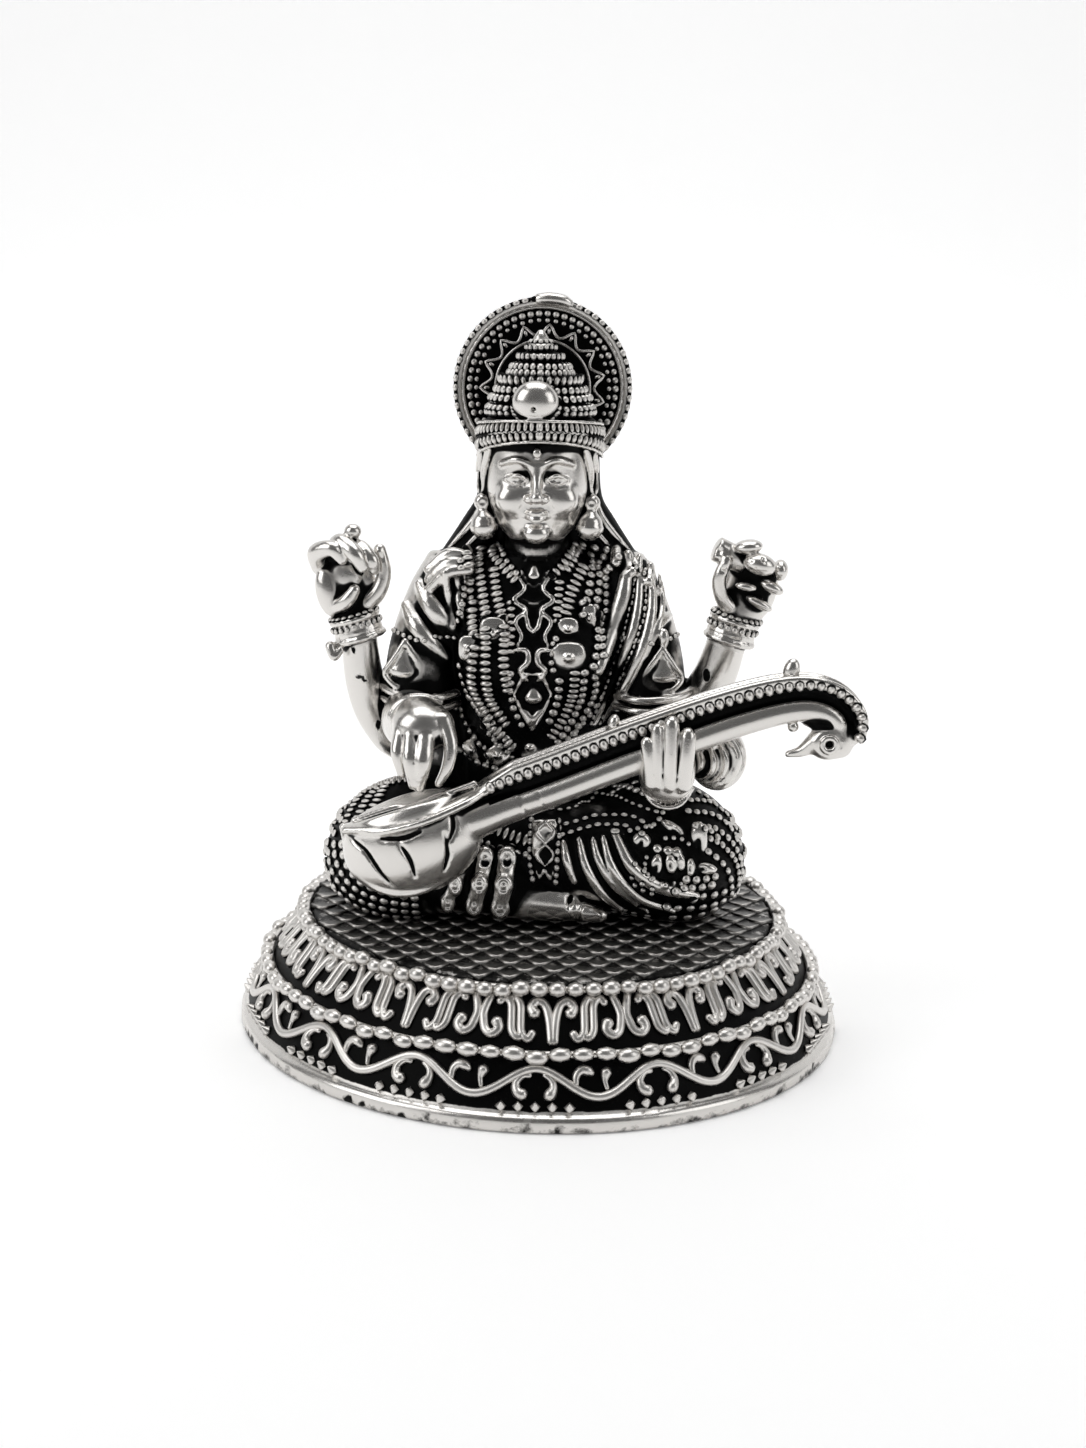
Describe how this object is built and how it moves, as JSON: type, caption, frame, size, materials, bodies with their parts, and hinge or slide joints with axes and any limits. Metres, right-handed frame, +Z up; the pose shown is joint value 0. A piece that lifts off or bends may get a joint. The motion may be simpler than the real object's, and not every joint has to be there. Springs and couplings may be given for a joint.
{
  "type": "saraswati figure",
  "caption": "Seated four-armed goddess playing a veena, cast in oxidised silver, on a round stepped plinth with scrollwork, with a halo behind the crown.",
  "frame": {"origin": "centre of the plinth's underside", "axes": "+Z up, the figure faces -Y, +X towards its left hands and the veena's head"},
  "size_m": [0.0598, 0.0598, 0.0713],
  "materials": {
    "silver": "cast silver, oxidised black in the hollows and polished bright on the high points"
  },
  "bodies": {
    "root": {"plinth": "silver", "figure": "silver", "halo": "silver"}
  },
  "joints": []
}
